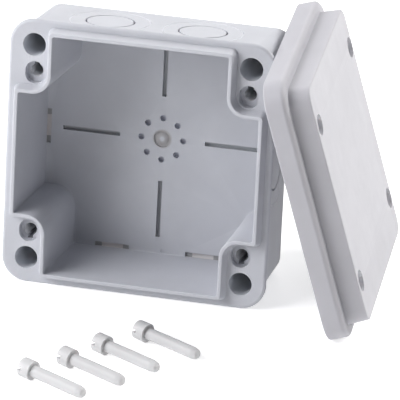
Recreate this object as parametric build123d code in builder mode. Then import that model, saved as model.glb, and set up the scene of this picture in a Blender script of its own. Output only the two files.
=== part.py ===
from build123d import *
from math import asin, atan2, cos, degrees, hypot, radians, sin, tan
import os

os.makedirs("parts", exist_ok=True)

# Junction box with its lid off, in millimetres.
# The base stands on its lower side with the opening toward -Y, the lid leans on its right
# side and the four lid screws lie on the floor in front.
# The origin is on the floor, at the middle of the line on which the rim of the base stands.

# Base: sealing face, rim and body
outline = 110.0
outline_corner = 10.5
rim_depth = 2.5
rim_front_round = 1.3
rim_back_round = 1.0
body_set_in = 2.5
body_corner = 8.0
body_draft = 1.6
base_depth = 41.5
back_wall = 2.66
back_edge_round = 1.0

# Cavity: four arms between the corner pillars
wall_width = 5.43
pillar_wide = 18.85
pillar_tall = 29.7
pillar_corner = 8.0
arm_floor_corner = 0.124
cavity_draft = 0.9
cavity_floor_round = 0.5

# Raised sealing lip round the cavity
lip_height = 4.2
lip_root = 2.8
lip_tip = 1.45
lip_corner = 2.6
lip_edge_round = 0.35

# Wells for the wall fixing screws, at the four corners
fixing_pitch = 89.2
well_diameter = 9.5
well_floor = 3.0
fixing_hole_diameter = 5.2

# Holes for the lid screws
lid_hole_pitch_x = 88.0
lid_hole_pitch_y = 66.8
counterbore_width = 8.0
counterbore_length = 9.3
counterbore_shift = 0.3
counterbore_depth = 3.2
screw_clearance = 0.15
base_bore_depth = 26.0
key_width = 2.4
key_reach = 1.3

# Knockouts: a deep inner ring for one gland size and a fine outer ring for the next
knockout_depth = 20.5
knockout_pair_spacing = 38.4
inner_ring_radius = 9.75
inner_ring_width = 0.8
inner_ring_cut = 1.6
outer_ring_radius = 16.2
outer_ring_width = 0.5
outer_ring_cut = 0.25
corner_slot_length = 14.6
corner_slot_height = 2.0
corner_slot_cut = 1.2

# Back wall: marking-out grooves, pilot holes and centre dimple
cross_start = 17.9
cross_end = 41.9
cross_width = 1.8
cross_cut = 2.0
pilot_count = 8
pilot_circle_radius = 8.76
pilot_diameter = 2.6
pilot_cut = 2.0
dimple_diameter = 7.2
dimple_cut = 1.0
dome_radius = 3.6
dome_height = 1.2
dome_root = 0.2
gate_dot_diameter = 1.6
gate_dot_cut = 0.4
gate_dot_x = 2.2
gate_dot_height = 7.3

# Lid
flange_depth = 8.7
flange_round = 2.2
flange_edge_round = 0.4
raised_set_in = 4.6
raised_corner = 6.5
raised_height = 8.54
raised_draft = 4.0
raised_round = 0.7
hollow_corner = 1.0
cover_wall = 2.4
hollow_draft = 1.0
groove_clearance = 0.25
groove_ridge = 1.6
gasket_squeeze = 0.2
lid_head_diameter = 8.6
lid_head_depth = 6.0
lid_pocket_diameter = 8.0
lid_pocket_depth = 12.0

# Seal in the groove of the lid
gasket_thick = 1.8
gasket_play = 0.15

# Lid screws
head_diameter = 7.8
head_length = 5.4
head_chamfer = 0.3
slot_width = 1.3
slot_cut = 2.2
slot_turn = 12.0
shank_diameter = 4.9
shank_length = 25.8
point_length = 2.9
point_diameter = 3.6
point_round = 1.2

# Where the loose pieces are
lid_turn = 5.26
lid_lean = 16.09
lid_foot_y = 26.79
screw_heading = -24.6
screw_1_x = -14.4
screw_1_y = -92.5
screw_2_x = -3.0
screw_2_y = -77.2
screw_3_x = 6.4
screw_3_y = -61.0
screw_4_x = 18.4
screw_4_y = -44.3

cavity_depth = base_depth - back_wall
half_outline = outline / 2
body_width = 2 * (half_outline - body_set_in)
raised_width = 2 * (half_outline - raised_set_in)
cavity_half = half_outline - wall_width
arm_half_x = half_outline - pillar_wide
arm_half_y = half_outline - pillar_tall
# the draft rounds the corners more toward the mouth of the cavity
arm_corner = arm_floor_corner + (cavity_depth + lip_height) * tan(radians(cavity_draft))
lid_hole_x = lid_hole_pitch_x / 2
lid_hole_y = lid_hole_pitch_y / 2
counterbore_pitch_y = lid_hole_pitch_y - 2 * counterbore_shift
lid_thick = flange_depth + raised_height
key_length = shank_diameter / 2 + screw_clearance + key_reach
groove_depth = lip_height + gasket_thick - gasket_squeeze
draft_slope = tan(radians(body_draft))
lip_slope = degrees(atan2(lip_root - lip_tip, lip_height))


def body_half(depth):
    """Half the width of the body, this far behind the sealing face."""
    return half_outline - body_set_in - (depth - rim_depth) * draft_slope


# The rim is wider than the body, so the base leans back until its back lower edge is on the floor.
rim_contact = (rim_depth - rim_back_round, rim_back_round)
edge_contact_depth = base_depth - back_edge_round
edge_contact = (
    edge_contact_depth,
    half_outline - body_half(edge_contact_depth) + back_edge_round / cos(radians(body_draft)),
)
contact_run = edge_contact[0] - rim_contact[0]
contact_rise = edge_contact[1] - rim_contact[1]
base_lean = atan2(contact_rise, contact_run) - asin(
    (back_edge_round - rim_back_round) / hypot(contact_run, contact_rise)
)
lift = rim_back_round + rim_contact[0] * sin(base_lean) - rim_contact[1] * cos(base_lean)
contact_y = rim_contact[0] * cos(base_lean) + rim_contact[1] * sin(base_lean)
front = Plane(
    origin=(0, half_outline * sin(base_lean) - contact_y, half_outline * cos(base_lean) + lift),
    x_dir=(1, 0, 0),
    z_dir=(0, -cos(base_lean), sin(base_lean)),
)


def cavity_face(grow, wall_corner):
    """Outline of the cavity, grown outward, with round corners at the pillars and at the walls."""
    half = cavity_half + grow
    past_pillars = (half + arm_half_x + pillar_corner) / 2
    with BuildSketch(Plane.XY, mode=Mode.PRIVATE) as face:
        Rectangle(2 * half, 2 * (arm_half_y + grow))
        Rectangle(2 * (arm_half_x + grow), 2 * half)
        at_pillars = [v for v in face.vertices() if max(abs(v.X), abs(v.Y)) < past_pillars]
        fillet(at_pillars, radius=pillar_corner - grow)
        at_walls = [v for v in face.vertices() if max(abs(v.X), abs(v.Y)) > past_pillars]
        fillet(at_walls, radius=wall_corner)
    return face.sketch


def wall_plane(angle, along, depth, half_width, draft):
    """Plane on a drafted wall that faces `angle`, its Z axis pointing out of the box."""
    out = Vector(cos(radians(angle)), sin(radians(angle)), 0)
    side = Vector(-sin(radians(angle)), cos(radians(angle)), 0)
    centre = out * half_width + side * along - Vector(0, 0, depth)
    normal = out * cos(radians(draft)) - Vector(0, 0, sin(radians(draft)))
    origin = front.from_local_coords(centre)
    z_dir = front.from_local_coords(centre + normal) - origin
    x_dir = front.from_local_coords(centre + side) - origin
    return Plane(origin=origin, x_dir=x_dir, z_dir=z_dir)


# Direction the wall faces, and where its knockouts are along it
half_pair = knockout_pair_spacing / 2
knockouts = ((90, -half_pair), (90, half_pair), (270, -half_pair), (270, half_pair), (0, 0), (180, 0))
back_inner_half = cavity_half - (cavity_depth + lip_height) * tan(radians(cavity_draft))

with BuildPart() as base:
    # rim
    with BuildSketch(front):
        RectangleRounded(outline, outline, outline_corner)
    extrude(amount=-rim_depth)
    rim_faces = base.faces().sort_by(Axis(front.origin, front.z_dir))
    fillet(rim_faces[-1].edges(), radius=rim_front_round)
    rim_faces = base.faces().sort_by(Axis(front.origin, front.z_dir))
    fillet(rim_faces[0].edges(), radius=rim_back_round)
    # body
    with BuildSketch(front.offset(-rim_depth)):
        RectangleRounded(body_width, body_width, body_corner)
    extrude(amount=-(base_depth - rim_depth), taper=body_draft)
    fillet(base.faces().sort_by(Axis(front.origin, front.z_dir))[0].edges(), radius=back_edge_round)
    # sealing lip, solid until the cavity is cut
    with BuildSketch(front):
        add(cavity_face(lip_root, lip_corner))
    extrude(amount=lip_height, taper=lip_slope)
    # cavity
    with BuildSketch(front.offset(lip_height)):
        add(cavity_face(0, arm_corner))
    extrude(amount=-(lip_height + cavity_depth), taper=cavity_draft, mode=Mode.SUBTRACT)
    cavity_floor = base.faces().sort_by_distance(front.offset(-cavity_depth).origin)[0]
    fillet(cavity_floor.edges(), radius=cavity_floor_round)
    lip_top = base.faces().sort_by(Axis(front.origin, front.z_dir))[-1]
    fillet(lip_top.edges(), radius=lip_edge_round)
    # wells and fixing holes
    with BuildSketch(front):
        with GridLocations(fixing_pitch, fixing_pitch, 2, 2):
            Circle(well_diameter / 2)
    extrude(amount=-(base_depth - well_floor), mode=Mode.SUBTRACT)
    with BuildSketch(front):
        with GridLocations(fixing_pitch, fixing_pitch, 2, 2):
            Circle(fixing_hole_diameter / 2)
    extrude(amount=-base_depth, mode=Mode.SUBTRACT)
    # counterbores, bores and key notches for the lid screws
    with BuildSketch(front):
        with GridLocations(lid_hole_pitch_x, counterbore_pitch_y, 2, 2):
            SlotOverall(counterbore_length, counterbore_width, rotation=90)
    extrude(amount=-counterbore_depth, mode=Mode.SUBTRACT)
    with BuildSketch(front):
        with GridLocations(lid_hole_pitch_x, lid_hole_pitch_y, 2, 2):
            Circle(shank_diameter / 2 + screw_clearance)
        for side_x in (-1, 1):
            for side_y in (-1, 1):
                with Locations((side_x * lid_hole_x, side_y * (lid_hole_y + key_length / 2))):
                    Rectangle(key_width, key_length)
    extrude(amount=-base_bore_depth, mode=Mode.SUBTRACT)
    # knockout rings outside
    for angle, along in knockouts:
        outside = wall_plane(angle, along, knockout_depth, body_half(knockout_depth), body_draft)
        with BuildSketch(outside):
            Circle(inner_ring_radius + inner_ring_width / 2)
            Circle(inner_ring_radius - inner_ring_width / 2, mode=Mode.SUBTRACT)
        extrude(amount=-inner_ring_cut, mode=Mode.SUBTRACT)
        with BuildSketch(outside):
            Circle(outer_ring_radius + outer_ring_width / 2)
            Circle(outer_ring_radius - outer_ring_width / 2, mode=Mode.SUBTRACT)
        extrude(amount=-outer_ring_cut, mode=Mode.SUBTRACT)
        # slot inside, where the wall meets the back
        corner = wall_plane(angle, along, cavity_depth, back_inner_half - corner_slot_height / 2, 0)
        with BuildSketch(corner):
            Rectangle(corner_slot_length, 2 * corner_slot_cut)
        extrude(amount=corner_slot_height / 2, both=True, mode=Mode.SUBTRACT)
    # grooves, pilot holes and dimple in the back wall
    with BuildSketch(front.offset(-cavity_depth)):
        with PolarLocations((cross_start + cross_end) / 2, 4):
            Rectangle(cross_end - cross_start, cross_width)
    extrude(amount=-cross_cut, mode=Mode.SUBTRACT)
    with BuildSketch(front.offset(-cavity_depth)):
        with PolarLocations(pilot_circle_radius, pilot_count):
            Circle(pilot_diameter / 2)
    extrude(amount=-pilot_cut, mode=Mode.SUBTRACT)
    with BuildSketch(front.offset(-cavity_depth)):
        Circle(dimple_diameter / 2)
    extrude(amount=-dimple_cut, mode=Mode.SUBTRACT)
    with BuildSketch(front.offset(-cavity_depth)):
        with Locations((gate_dot_x, gate_dot_height - half_outline)):
            Circle(gate_dot_diameter / 2)
    extrude(amount=-gate_dot_cut, mode=Mode.SUBTRACT)
    # low dome in the middle of the dimple
    dome_latitude = degrees(asin((dome_radius - dome_height - dome_root) / dome_radius))
    with Locations(front.offset(-cavity_depth - dimple_cut - dome_root)):
        Sphere(dome_radius, arc_size1=dome_latitude, align=(Align.CENTER, Align.CENTER, Align.MIN))
base.part.label = "base"
export_step(base.part, "parts/base.step")

# Lid: its open side is turned to the box, its foot edge is on the floor and its upper rim is
# against the rounded upper corner of the base rim.
turn = radians(lid_turn)
lean = radians(lid_lean)
lid_out = Vector(cos(lean) * cos(turn), cos(lean) * sin(turn), sin(lean))
lid_side = Vector(-sin(turn), cos(turn), 0)
lid_up = lid_out.cross(lid_side)
corner_middle = front.from_local_coords(
    Vector(half_outline - outline_corner, half_outline - outline_corner, -rim_contact[0])
)
base_up = Vector(0, sin(base_lean), cos(base_lean))
corner_reach = (outline_corner - rim_back_round) * hypot(lid_out.X, lid_out.dot(base_up))
lid_plane_distance = corner_middle.dot(lid_out) + corner_reach + rim_back_round
foot_x = (
    lid_plane_distance + flange_edge_round - flange_edge_round * lid_out.Z - lid_out.Y * lid_foot_y
) / lid_out.X
foot_centre = Vector(foot_x, lid_foot_y, flange_edge_round)
lid_origin = foot_centre + lid_up * (half_outline - flange_edge_round) - lid_out * flange_edge_round
lid_back = Plane(origin=lid_origin, x_dir=lid_side, z_dir=lid_out)

with BuildPart() as lid:
    # flange
    with BuildSketch(lid_back):
        RectangleRounded(outline, outline, outline_corner)
    extrude(amount=flange_depth)
    flange_faces = lid.faces().sort_by(Axis(lid_back.origin, lid_back.z_dir))
    fillet(flange_faces[-1].edges(), radius=flange_round)
    flange_faces = lid.faces().sort_by(Axis(lid_back.origin, lid_back.z_dir))
    fillet(flange_faces[0].edges(), radius=flange_edge_round)
    # raised cover
    with BuildSketch(lid_back.offset(flange_depth)):
        RectangleRounded(raised_width, raised_width, raised_corner)
    extrude(amount=raised_height, taper=raised_draft)
    fillet(lid.faces().sort_by(Axis(lid_back.origin, lid_back.z_dir))[-1].edges(), radius=raised_round)
    # hollow inside the ridge
    with BuildSketch(lid_back):
        add(cavity_face(-groove_clearance - groove_ridge, hollow_corner))
    extrude(amount=lid_thick - cover_wall, taper=hollow_draft, mode=Mode.SUBTRACT)
    # groove for the sealing lip
    with BuildSketch(lid_back):
        add(cavity_face(lip_root + groove_clearance, lip_corner + groove_clearance))
        add(cavity_face(-groove_clearance, arm_corner), mode=Mode.SUBTRACT)
    extrude(amount=groove_depth, mode=Mode.SUBTRACT)
    # holes for the lid screws, their heads sunk in the raised cover
    with BuildSketch(lid_back):
        with GridLocations(lid_hole_pitch_x, lid_hole_pitch_y, 2, 2):
            Circle(shank_diameter / 2 + screw_clearance)
    extrude(amount=lid_thick, mode=Mode.SUBTRACT)
    with BuildSketch(lid_back.offset(lid_thick)):
        with GridLocations(lid_hole_pitch_x, lid_hole_pitch_y, 2, 2):
            Circle(lid_head_diameter / 2)
    extrude(amount=-lid_head_depth, mode=Mode.SUBTRACT)
    # pockets that core out the solid corners
    with BuildSketch(lid_back):
        with GridLocations(fixing_pitch, fixing_pitch, 2, 2):
            Circle(lid_pocket_diameter / 2)
    extrude(amount=lid_pocket_depth, mode=Mode.SUBTRACT)
lid.part.label = "lid"
export_step(lid.part, "parts/lid.step")

with BuildPart() as lid_gasket:
    with BuildSketch(lid_back.offset(groove_depth)):
        add(cavity_face(lip_root + groove_clearance - gasket_play, lip_corner + groove_clearance))
        add(cavity_face(gasket_play - groove_clearance, arm_corner), mode=Mode.SUBTRACT)
    extrude(amount=-gasket_thick)
lid_gasket.part.label = "lid_gasket"
export_step(lid_gasket.part, "parts/lid_gasket.step")

# Each screw lies on the rim under its head and on the end of its shank.
screw_tilt = atan2((head_diameter - shank_diameter) / 2, shank_length - point_length)
heading = radians(screw_heading)
screw_axis = Vector(cos(heading) * cos(screw_tilt), sin(heading) * cos(screw_tilt), -sin(screw_tilt))
screw_side = Vector(-sin(heading), cos(heading), 0)

screw_places = (
    (screw_1_x, screw_1_y),
    (screw_2_x, screw_2_y),
    (screw_3_x, screw_3_y),
    (screw_4_x, screw_4_y),
)
for number, (place_x, place_y) in enumerate(screw_places, start=1):
    seat = Plane(
        origin=(place_x, place_y, head_diameter / 2 * cos(screw_tilt)),
        x_dir=screw_side,
        z_dir=screw_axis,
    )
    with BuildPart() as lid_screw:
        with BuildSketch(seat):
            Circle(head_diameter / 2)
        extrude(amount=-head_length)
        chamfer(lid_screw.faces().sort_by(Axis(seat.origin, seat.z_dir))[0].edges(), length=head_chamfer)
        with BuildSketch(seat.offset(-head_length)):
            Rectangle(head_diameter, slot_width, rotation=-slot_turn)
        extrude(amount=slot_cut, mode=Mode.SUBTRACT)
        with BuildSketch(seat):
            Circle(shank_diameter / 2)
        extrude(amount=shank_length - point_length)
        with BuildSketch(seat.offset(shank_length - point_length)):
            Circle(shank_diameter / 2)
        with BuildSketch(seat.offset(shank_length)):
            Circle(point_diameter / 2)
        loft()
        fillet(lid_screw.faces().sort_by(Axis(seat.origin, seat.z_dir))[-1].edges(), radius=point_round)
    lid_screw.part.label = f"lid_screw_{number}"
    export_step(lid_screw.part, f"parts/lid_screw_{number}.step")
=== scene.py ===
import math

import bpy
from mathutils import Matrix, Vector

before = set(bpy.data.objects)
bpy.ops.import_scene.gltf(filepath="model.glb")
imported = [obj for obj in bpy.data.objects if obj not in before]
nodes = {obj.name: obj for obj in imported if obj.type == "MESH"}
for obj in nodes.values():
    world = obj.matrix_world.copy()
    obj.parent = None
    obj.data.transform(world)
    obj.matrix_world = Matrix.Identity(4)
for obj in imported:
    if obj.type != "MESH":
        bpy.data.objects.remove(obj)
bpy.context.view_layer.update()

# The photograph's camera in the box's own frame: x right, y into the box, z along its height
CAM_AZIMUTH = math.radians(13.483)
CAM_ELEVATION = math.radians(17.217)
CAM_ROLL = math.radians(2.917)
CAM_DISTANCE = 1.9
CAM_AIM = Vector((0.026388, 0.0, 0.043444))
CAM_LENS = 428.84
CAM_SENSOR = 36.0

# Place and lean of the box in the row frame
BOX_LEAN = math.radians(5.2183)
BOX_CENTRE = Vector((0.0, 0.00341754, 0.0549126))
BOX_HALF = 0.055

# Place, turn and lean of the lid in the row frame
LID_TURN = math.radians(5.26)
LID_LEAN = math.radians(16.09)
LID_CENTRE = Vector((0.0673678, 0.0253675, 0.0527503))

# Bounds of the places where light and shade are painted into the colour: from the middle of the
# box and of the lid, depths from the face of the rim, and each a little outside the surfaces that
# it takes in
SCREW_HALF_X = 0.044
SCREW_HALF_Z = 0.0334
BORE_RADIUS = 0.0028
COUNTERBORE_DEPTH = 0.0034
WELL_HALF = 0.0446
WELL_RADIUS = 0.0049
WELL_START = 0.0005
WELL_END = 0.0408
CAVITY_DEPTH = 0.0388
SLOT_START = CAVITY_DEPTH + 0.0006
SLOT_END = CAVITY_DEPTH + 0.0018
SLOT_INSIDE = 0.0465
SLOT_OUTSIDE = 0.0491
WEB_HALF = 0.0045
SUNK_START = CAVITY_DEPTH + 0.0002
SUNK_END = CAVITY_DEPTH + 0.0024
PILOTS_INSIDE = 0.0066
PILOTS_OUTSIDE = 0.012
# bounds of the ring of painted shade round the dimple
SHADE_RING_START = CAVITY_DEPTH - 0.0004
SHADE_RING_END = CAVITY_DEPTH + 0.0012
SHADE_RING_INSIDE = 0.0017
SHADE_RING_OUTSIDE = 0.0045
SHADE_RING_FADE = 0.0012
WALL_MIDDLE = 0.0506
KNOCKOUT_HALF_PAIR = 0.0192
KNOCKOUT_DEPTH = 0.0205
RING_INSIDE = 0.0159
RING_OUTSIDE = 0.0165
LID_FACE = 0.0170
HEAD_DEPTH = 0.0060
HEAD_RADIUS = 0.0045

# Moulded plastic: scales of its noises, ends of its ramps and ranges, and depth of its waviness
PLASTIC_IOR = 1.5
PLASTIC_SPECULAR = 0.35
SCATTER_RADIUS = (0.002, 0.0018, 0.0018)
DRIFT_SCALE = 38.0
DRIFT_RAMP = (0.36, 0.66)
DRIFT_TONES = (0.965, 1.02)
EDGE_RAMP = (0.52, 0.64)
WEAR_SCALE = 160.0
SMEAR_SCALE = 90.0
SMEAR_RANGE = (-0.05, 0.06)
WAVE_SCALE = 55.0
WAVE_DEPTH = 0.00012

# Roughness, grain (scale of its noise, depth of its pits) and scatter of the two kinds of plastic
SATIN = 0.50
SMOOTH = 0.38
SPARK_ERODED = (2400.0, 0.00002)
FINE_GRAIN = (3200.0, 0.00001)
BODY_SCATTER = 0.2
SCREW_SCATTER = 0.6

# Foamed seal
CELL_SCALE = 2600.0
CELL_DEPTH = 0.0001
CELL_TONES = ((0.28, 0.28, 0.29), (0.42, 0.42, 0.43))

# Floor and lamps: the floor's glow for all rays, and the lift that the camera sees, near and far
FLOOR_SIZE = 6.0
FLOOR_WHITE = 0.85
FLOOR_GLOW = 0.22
FLOOR_LIFT = 0.34
FAR_LIFT = 0.45
FLOOR_NEAR = 0.35
FLOOR_FAR = 1.1
LAMP_AIM = Vector((0.02, 0.0, 0.05))


def direction(azimuth, elevation):
    """A direction, its azimuth measured from the front toward the right."""
    return Vector((
        math.sin(azimuth) * math.cos(elevation),
        -math.cos(azimuth) * math.cos(elevation),
        math.sin(elevation),
    ))


def from_box(vector):
    """A direction of the box's own frame, turned into the row frame."""
    return Matrix.Rotation(-BOX_LEAN, 3, "X") @ vector


def make_camera():
    """The photograph's camera, a little to the right of the box's front and above it."""
    toward = direction(CAM_AZIMUTH, CAM_ELEVATION)
    right = (-toward).cross(Vector((0, 0, 1))).normalized()
    up = right.cross(-toward)
    turned_right = right * math.cos(CAM_ROLL) + up * math.sin(CAM_ROLL)
    turned_up = up * math.cos(CAM_ROLL) - right * math.sin(CAM_ROLL)
    aim = BOX_CENTRE + from_box(CAM_AIM - Vector((0, 0, BOX_HALF)))
    place = aim + from_box(toward) * CAM_DISTANCE
    columns = (from_box(turned_right), from_box(turned_up), from_box(toward))
    turn = Matrix(columns).transposed().to_4x4()

    data = bpy.data.cameras.new("camera")
    data.sensor_fit = "HORIZONTAL"
    data.sensor_width = CAM_SENSOR
    data.lens = CAM_LENS
    data.clip_start = 0.01
    data.clip_end = 20.0
    camera = bpy.data.objects.new("camera", data)
    bpy.context.scene.collection.objects.link(camera)
    camera.matrix_world = Matrix.Translation(place) @ turn
    bpy.context.scene.camera = camera


def node(tree, kind, **inputs):
    """A new node with the given values on its sockets."""
    made = tree.nodes.new(kind)
    for name, value in inputs.items():
        made.inputs[name.replace("_", " ")].default_value = value
    return made


def noise(tree, scale, detail, roughness=0.5):
    """A noise that is fixed to the piece."""
    place = tree.nodes.new("ShaderNodeTexCoord")
    made = node(tree, "ShaderNodeTexNoise", Scale=scale, Detail=detail, Roughness=roughness)
    tree.links.new(place.outputs["Object"], made.inputs["Vector"])
    return made.outputs["Fac"]


def ramp(tree, value, first, second, ends=(0.0, 1.0)):
    """A run from one colour to another."""
    made = tree.nodes.new("ShaderNodeValToRGB")
    for element, position, colour in zip(made.color_ramp.elements, ends, (first, second)):
        element.position = position
        element.color = (*colour, 1.0)
    tree.links.new(value, made.inputs["Fac"])
    return made.outputs["Color"]


def spread(tree, value, low, high):
    """A value from 0 to 1, spread over a range."""
    made = node(tree, "ShaderNodeMapRange", To_Min=low, To_Max=high)
    tree.links.new(value, made.inputs["Value"])
    return made.outputs["Result"]


def bumped(tree, value, strength, depth, under=None):
    """A normal that follows a height, on top of another normal."""
    made = node(tree, "ShaderNodeBump", Strength=strength, Distance=depth)
    tree.links.new(value, made.inputs["Height"])
    if under:
        tree.links.new(under, made.inputs["Normal"])
    return made.outputs["Normal"]


def maths(tree, operation, *values):
    """The result of a Math node of numbers and sockets."""
    made = tree.nodes.new("ShaderNodeMath")
    made.operation = operation
    for socket, value in zip(made.inputs, values):
        if isinstance(value, float):
            socket.default_value = value
        else:
            tree.links.new(value, socket)
    return made.outputs["Value"]


def all_of(tree, *masks):
    """1 where every mask is 1."""
    product = masks[0]
    for mask in masks[1:]:
        product = maths(tree, "MULTIPLY", product, mask)
    return product


def between(tree, value, low, high):
    """1 where a value lies between two bounds."""
    above = maths(tree, "GREATER_THAN", value, low)
    below = maths(tree, "LESS_THAN", value, high)
    return all_of(tree, above, below)


def distance(tree, first, second):
    """Length of a vector from its two parts."""
    squares = [maths(tree, "MULTIPLY", value, value) for value in (first, second)]
    return maths(tree, "SQRT", maths(tree, "ADD", *squares))


def fades(tree, value, start, end):
    """1 at the start of a run and 0 at its end, smooth at both."""
    made = node(
        tree, "ShaderNodeMapRange", From_Min=start, From_Max=end, To_Min=1.0, To_Max=0.0
    )
    made.interpolation_type = "SMOOTHSTEP"
    tree.links.new(value, made.inputs["Value"])
    return made.outputs["Result"]


def blended(tree, factor, first, second):
    """The first colour, turned into the second by a factor."""
    made = tree.nodes.new("ShaderNodeMix")
    made.data_type = "RGBA"
    tree.links.new(factor, made.inputs["Factor"])
    tree.links.new(first, made.inputs["A"])
    made.inputs["B"].default_value = (*second, 1.0)
    return made.outputs["Result"]


def own_axes(tree, turn, centre):
    """Coordinates along a piece's own axes, from its middle."""
    place = tree.nodes.new("ShaderNodeTexCoord")
    mapping = tree.nodes.new("ShaderNodeMapping")
    mapping.inputs["Rotation"].default_value = turn.to_euler("XYZ")
    mapping.inputs["Location"].default_value = -(turn @ centre)
    tree.links.new(place.outputs["Object"], mapping.inputs["Vector"])
    apart = tree.nodes.new("ShaderNodeSeparateXYZ")
    tree.links.new(mapping.outputs["Vector"], apart.inputs["Vector"])
    return apart.outputs["X"], apart.outputs["Y"], apart.outputs["Z"]


def at_four(tree, x, z, half_x, half_z):
    """Distance from the nearest of four centres at the corners of a rectangle."""
    beside_x = maths(tree, "SUBTRACT", maths(tree, "ABSOLUTE", x), half_x)
    beside_z = maths(tree, "SUBTRACT", maths(tree, "ABSOLUTE", z), half_z)
    return distance(tree, beside_x, beside_z)


def from_web(tree, x, z):
    """Distance along the wall from the middle of the nearest knockout."""
    along_side = maths(tree, "ABSOLUTE", z)
    along_floor = maths(tree, "ABSOLUTE", maths(
        tree, "SUBTRACT", maths(tree, "ABSOLUTE", x), KNOCKOUT_HALF_PAIR
    ))
    at_side = maths(tree, "GREATER_THAN", maths(tree, "ABSOLUTE", x), SLOT_INSIDE)
    at_floor = maths(tree, "SUBTRACT", 1.0, at_side)
    return maths(
        tree,
        "ADD",
        maths(tree, "MULTIPLY", at_side, along_side),
        maths(tree, "MULTIPLY", at_floor, along_floor),
    )


def base_recesses(tree):
    """Masks of the base's holes, slots, grooves and rings, with colours that paint light and shade
    into them.
    """
    x, depth, z = own_axes(tree, Matrix.Rotation(BOX_LEAN, 3, "X"), BOX_CENTRE)
    farther = maths(tree, "MAXIMUM", maths(tree, "ABSOLUTE", x), maths(tree, "ABSOLUTE", z))
    to_bore = at_four(tree, x, z, SCREW_HALF_X, SCREW_HALF_Z)
    bores = all_of(
        tree,
        maths(tree, "LESS_THAN", to_bore, BORE_RADIUS),
        between(tree, depth, COUNTERBORE_DEPTH, CAVITY_DEPTH),
    )
    to_well = at_four(tree, x, z, WELL_HALF, WELL_HALF)
    wells = all_of(
        tree,
        maths(tree, "LESS_THAN", to_well, WELL_RADIUS),
        between(tree, depth, WELL_START, WELL_END),
    )
    slots = all_of(
        tree,
        between(tree, depth, SLOT_START, SLOT_END),
        between(tree, farther, SLOT_INSIDE, SLOT_OUTSIDE),
    )
    webs = all_of(tree, slots, maths(tree, "LESS_THAN", from_web(tree, x, z), WEB_HALF))
    sunk = all_of(
        tree,
        between(tree, depth, SUNK_START, SUNK_END),
        maths(tree, "LESS_THAN", farther, SLOT_INSIDE),
    )
    from_middle = distance(tree, x, z)
    grooves = all_of(tree, sunk, maths(tree, "GREATER_THAN", from_middle, PILOTS_OUTSIDE))
    pilots = all_of(tree, sunk, between(tree, from_middle, PILOTS_INSIDE, PILOTS_OUTSIDE))
    # painted shade: a darker ring round the dimple stands for the shading of its bowl
    dimple_painted_shade = all_of(
        tree,
        between(tree, depth, SHADE_RING_START, SHADE_RING_END),
        fades(tree, from_middle, SHADE_RING_OUTSIDE - SHADE_RING_FADE, SHADE_RING_OUTSIDE),
        fades(tree, from_middle, SHADE_RING_INSIDE, SHADE_RING_INSIDE - SHADE_RING_FADE),
    )
    past_middle = maths(tree, "SUBTRACT", depth, KNOCKOUT_DEPTH)
    ring_masks = []
    for along, across, apart in ((x, z, KNOCKOUT_HALF_PAIR), (z, x, 0.0)):
        beside = maths(tree, "SUBTRACT", maths(tree, "ABSOLUTE", along), apart)
        on_wall = maths(tree, "GREATER_THAN", maths(tree, "ABSOLUTE", across), WALL_MIDDLE)
        round_ring = between(tree, distance(tree, beside, past_middle), RING_INSIDE, RING_OUTSIDE)
        ring_masks.append(all_of(tree, on_wall, round_ring))
    rings = maths(tree, "MAXIMUM", *ring_masks)
    return (
        # painted light: the screw bores get a much paler colour, which lights them up inside
        (bores, (0.86, 0.87, 0.89)),
        # painted light: the fixing wells get a paler colour, which lights them up inside
        (wells, (0.66, 0.68, 0.72)),
        # painted shade: the slots get a darker colour, which deepens the shade in them
        (slots, (0.40, 0.40, 0.41)),
        # painted light: the thin webs in the slots get a pale warm colour that stands for light
        # shining through them
        (webs, (0.70, 0.68, 0.68)),
        # painted shade: the cross grooves get a darker colour for the shade in them
        (grooves, (0.43, 0.45, 0.475)),
        # painted shade: the pilot holes get a darker, bluer colour for the shade in them
        (pilots, (0.48, 0.50, 0.56)),
        (dimple_painted_shade, (0.46, 0.45, 0.455)),
        # painted light: the knockout rings get a paler colour, a painted bright line along them
        (rings, (0.74, 0.75, 0.79)),
    )


def lid_recesses(tree):
    """Mask of the lid's recesses for the screw heads, with a paler colour that paints light into
    them.
    """
    out = Vector((
        math.cos(LID_LEAN) * math.cos(LID_TURN),
        math.cos(LID_LEAN) * math.sin(LID_TURN),
        math.sin(LID_LEAN),
    ))
    side = Vector((-math.sin(LID_TURN), math.cos(LID_TURN), 0.0))
    turn = Matrix((out, side, out.cross(side)))
    height, across, up = own_axes(tree, turn, LID_CENTRE)
    to_head = at_four(tree, across, up, SCREW_HALF_X, SCREW_HALF_Z)
    heads = all_of(
        tree,
        maths(tree, "LESS_THAN", to_head, HEAD_RADIUS),
        between(tree, height, LID_FACE - HEAD_DEPTH, LID_FACE),
    )
    # painted light: the head recesses get a much paler colour than the lid
    return ((heads, (0.76, 0.76, 0.79)),)


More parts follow.
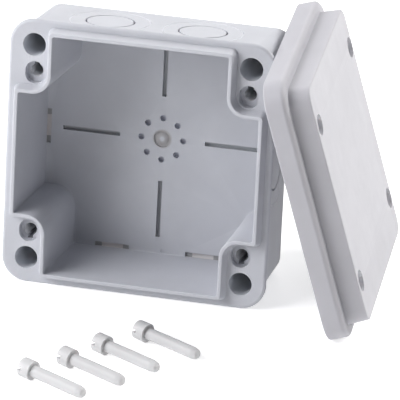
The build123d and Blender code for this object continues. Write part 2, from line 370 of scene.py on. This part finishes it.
def moulded_plastic(name, colour, light_colour, roughness, grain, scatter, recesses=None):
    """Injection-moulded plastic with slight colour drift, moulded grain and paler worn edges, and
    with light and shade painted into its recesses where masks are given.
    """
    material = bpy.data.materials.new(name)
    material.use_nodes = True
    tree = material.node_tree
    links = tree.links
    shader = tree.nodes["Principled BSDF"]
    shader.inputs["IOR"].default_value = PLASTIC_IOR
    shader.inputs["Specular IOR Level"].default_value = PLASTIC_SPECULAR
    shader.inputs["Subsurface Weight"].default_value = scatter
    shader.inputs["Subsurface Radius"].default_value = SCATTER_RADIUS
    shader.inputs["Subsurface Scale"].default_value = 1.0

    drift = noise(tree, DRIFT_SCALE, 4.0, 0.55)
    dark, light = (tuple(part * tone for part in colour) for tone in DRIFT_TONES)
    shade = ramp(tree, drift, dark, light, DRIFT_RAMP)
    shape = tree.nodes.new("ShaderNodeNewGeometry")
    edge = ramp(tree, shape.outputs["Pointiness"], (0.0, 0.0, 0.0), (1.0, 1.0, 1.0), EDGE_RAMP)
    worn = maths(tree, "MULTIPLY", edge, noise(tree, WEAR_SCALE, 3.0))
    shade = blended(tree, worn, shade, light_colour)
    # painted light and shade: each mask makes the colour paler or darker in a recess
    for mask, painted_tone in recesses(tree) if recesses else ():
        shade = blended(tree, mask, shade, painted_tone)
    links.new(shade, shader.inputs["Base Color"])

    smear = noise(tree, SMEAR_SCALE, 5.0, 0.6)
    low, high = (roughness + change for change in SMEAR_RANGE)
    links.new(spread(tree, smear, low, high), shader.inputs["Roughness"])

    grain_scale, grain_depth = grain
    fine = bumped(tree, noise(tree, grain_scale, 2.0), 0.35, grain_depth)
    broad = bumped(tree, noise(tree, WAVE_SCALE, 1.0), 0.25, WAVE_DEPTH, fine)
    links.new(broad, shader.inputs["Normal"])
    return material


def seal_rubber(name):
    """Foamed seal: soft grey, matt, with fine open cells."""
    material = bpy.data.materials.new(name)
    material.use_nodes = True
    tree = material.node_tree
    links = tree.links
    shader = tree.nodes["Principled BSDF"]
    shader.inputs["IOR"].default_value = 1.45
    shader.inputs["Sheen Weight"].default_value = 0.1
    place = tree.nodes.new("ShaderNodeTexCoord")
    cells = node(tree, "ShaderNodeTexVoronoi", Scale=CELL_SCALE)
    links.new(place.outputs["Object"], cells.inputs["Vector"])
    height = cells.outputs["Distance"]
    links.new(ramp(tree, height, *CELL_TONES), shader.inputs["Base Color"])
    links.new(spread(tree, height, 0.7, 0.9), shader.inputs["Roughness"])
    links.new(bumped(tree, height, 0.5, CELL_DEPTH), shader.inputs["Normal"])
    return material


def dress(name, material):
    """Give a CAD node one material."""
    piece = nodes[name]
    piece.data.materials.clear()
    piece.data.materials.append(material)


def seen_directly(tree):
    """1 for the rays of the camera, of reflections and of clear materials, otherwise 0."""
    path = tree.nodes.new("ShaderNodeLightPath")
    seen = path.outputs["Is Camera Ray"]
    for other in ("Is Glossy Ray", "Is Transmission Ray"):
        seen = maths(tree, "MAXIMUM", seen, path.outputs[other])
    return seen


def make_floor():
    """A pale floor under the object."""
    mesh = bpy.data.meshes.new("floor")
    half = FLOOR_SIZE / 2
    corners = [(-half, -half, 0.0), (half, -half, 0.0), (half, half, 0.0), (-half, half, 0.0)]
    mesh.from_pydata(corners, [], [(0, 1, 2, 3)])
    floor = bpy.data.objects.new("floor", mesh)
    bpy.context.scene.collection.objects.link(floor)
    material = bpy.data.materials.new("floor_white")
    material.use_nodes = True
    tree = material.node_tree
    shader = tree.nodes["Principled BSDF"]
    shader.inputs["Base Color"].default_value = (FLOOR_WHITE, FLOOR_WHITE, FLOOR_WHITE, 1.0)
    shader.inputs["Roughness"].default_value = 0.9
    # the camera and reflections see the floor as white as the background, also far from the lamps,
    # and the shadows on it
    place = tree.nodes.new("ShaderNodeTexCoord")
    apart = tree.nodes.new("ShaderNodeSeparateXYZ")
    tree.links.new(place.outputs["Object"], apart.inputs["Vector"])
    from_object = distance(tree, apart.outputs["X"], apart.outputs["Y"])
    far = maths(tree, "MULTIPLY", fades(tree, from_object, FLOOR_FAR, FLOOR_NEAR), FAR_LIFT)
    lift = maths(tree, "MULTIPLY", seen_directly(tree), maths(tree, "ADD", far, FLOOR_LIFT))
    glow = maths(tree, "ADD", lift, FLOOR_GLOW)
    tree.links.new(glow, shader.inputs["Emission Strength"])
    shader.inputs["Emission Color"].default_value = (1.0, 1.0, 1.0, 1.0)
    mesh.materials.append(material)


def make_world():
    """A white background that gives the object next to no light."""
    world = bpy.data.worlds.new("studio")
    bpy.context.scene.world = world
    world.use_nodes = True
    tree = world.node_tree
    tree.nodes.clear()
    links = tree.links
    out = tree.nodes.new("ShaderNodeOutputWorld")
    soft = node(tree, "ShaderNodeBackground", Color=(0.93, 0.96, 1.0, 1.0), Strength=0.02)
    white = node(tree, "ShaderNodeBackground", Color=(1.0, 1.0, 1.0, 1.0), Strength=1.0)
    mix = tree.nodes.new("ShaderNodeMixShader")
    links.new(seen_directly(tree), mix.inputs["Fac"])
    links.new(soft.outputs["Background"], mix.inputs[1])
    links.new(white.outputs["Background"], mix.inputs[2])
    links.new(mix.outputs["Shader"], out.inputs["Surface"])


def area_light(name, azimuth, elevation, away, size, watts, colour):
    """A square soft lamp aimed at the object."""
    toward = direction(math.radians(azimuth), math.radians(elevation))
    data = bpy.data.lights.new(name, "AREA")
    data.shape = "SQUARE"
    data.size = size
    data.energy = watts
    data.color = colour
    lamp = bpy.data.objects.new(name, data)
    bpy.context.scene.collection.objects.link(lamp)
    lamp.location = LAMP_AIM + toward * away
    lamp.rotation_euler = (-toward).to_track_quat("-Z", "Y").to_euler()


make_camera()
make_floor()
make_world()
area_light("key", -57, 34, 0.95, 0.75, 10.8, (0.98, 0.98, 1.0))
area_light("back_right", 120, 38, 1.6, 0.8, 20.0, (1.0, 0.99, 0.98))
area_light("back_top", 180, 46, 1.6, 0.8, 6.5, (1.0, 1.0, 1.0))

dress("base", moulded_plastic(
    "base_plastic", (0.555, 0.565, 0.605), (0.70, 0.71, 0.74),
    SATIN, SPARK_ERODED, BODY_SCATTER, base_recesses,
))
dress("lid", moulded_plastic(
    "lid_plastic", (0.53, 0.525, 0.56), (0.68, 0.68, 0.71),
    SATIN, SPARK_ERODED, BODY_SCATTER, lid_recesses,
))
dress("lid_gasket", seal_rubber("seal"))
screw_plastic = moulded_plastic(
    "screw_plastic", (0.63, 0.63, 0.635), (0.70, 0.70, 0.70),
    SMOOTH, FINE_GRAIN, SCREW_SCATTER,
)
for name in nodes:
    if name.startswith("lid_screw"):
        dress(name, screw_plastic)

bpy.context.scene.view_settings.view_transform = "Standard"
